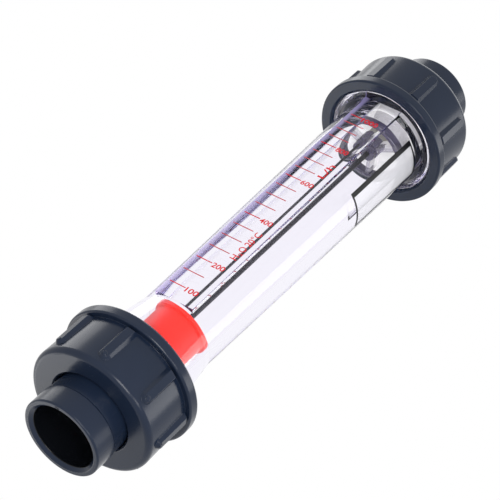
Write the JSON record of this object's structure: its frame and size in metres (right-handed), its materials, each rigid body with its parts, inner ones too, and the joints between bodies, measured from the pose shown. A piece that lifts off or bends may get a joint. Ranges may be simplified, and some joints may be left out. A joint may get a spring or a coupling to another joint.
{
  "type": "rotameter",
  "caption": "Inline rotameter: clear tapered tube with a red float on a guide rod, a flow scale on a flat land, and a union nut with a pipe socket at each end.",
  "frame": {"origin": "centre of the mouth of the inlet tail, where the meter stands", "axes": "+Z along the flow from inlet to outlet, -Y out of the flat land that carries the scale, +X to its right"},
  "size_m": [0.0696, 0.0696, 0.296],
  "materials": {
    "pvc": "moulded dark slate uPVC, satin gloss",
    "clear": "clear moulded plastic with a faint lavender tint, polished",
    "print": "red print",
    "label": "blank clear film with a black frame",
    "float": "bright red plastic, satin",
    "steel": "stainless steel",
    "holder": "dark grey plastic",
    "sleeve": "grey plastic",
    "bush": "pale grey plastic",
    "rubber": "black rubber"
  },
  "bodies": {
    "tube": {"measuring_tube": "clear", "scale_marks": "print", "blank_label": "label", "lower_rod_nut": "steel", "lower_rod_holder": "holder", "lower_bumper": "rubber", "guide_rod": "steel", "upper_bumper": "rubber", "upper_rod_holder": "holder", "retaining_bush": "bush", "spacer_sleeve": "sleeve", "upper_rod_nut": "holder"},
    "float": {"float": "float"},
    "inlet_tail": {"inlet_tail": "pvc", "inlet_seal": "rubber"},
    "inlet_nut": {"inlet_union_nut": "pvc"},
    "outlet_tail": {"outlet_tail": "pvc", "outlet_seal": "rubber"},
    "outlet_nut": {"outlet_union_nut": "pvc"}
  },
  "joints": [
    {"name": "float_slide", "type": "slide", "parent": "tube", "child": "float", "axis": [0, 0, 1], "range_m": [0, 0.1512]},
    {"name": "inlet_tail_draw", "type": "slide", "parent": "tube", "child": "inlet_tail", "axis": [0, 0, -1], "range_m": [0, 0.014]},
    {"name": "inlet_nut_turn", "type": "hinge", "parent": "inlet_tail", "child": "inlet_nut", "pos_m": [0, 0, 0.03], "axis": [0, 0, -1], "range_deg": [0, 1260]},
    {"name": "outlet_tail_draw", "type": "slide", "parent": "tube", "child": "outlet_tail", "axis": [0, 0, 1], "range_m": [0, 0.014]},
    {"name": "outlet_nut_turn", "type": "hinge", "parent": "outlet_tail", "child": "outlet_nut", "pos_m": [0, 0, 0.266], "axis": [0, 0, 1], "range_deg": [0, 1260]}
  ],
  "couplings": [
    {"joint": "inlet_tail_draw", "follows": "inlet_nut_turn", "m_per_rad": 0.00063662},
    {"joint": "outlet_tail_draw", "follows": "outlet_nut_turn", "m_per_rad": 0.00063662}
  ]
}
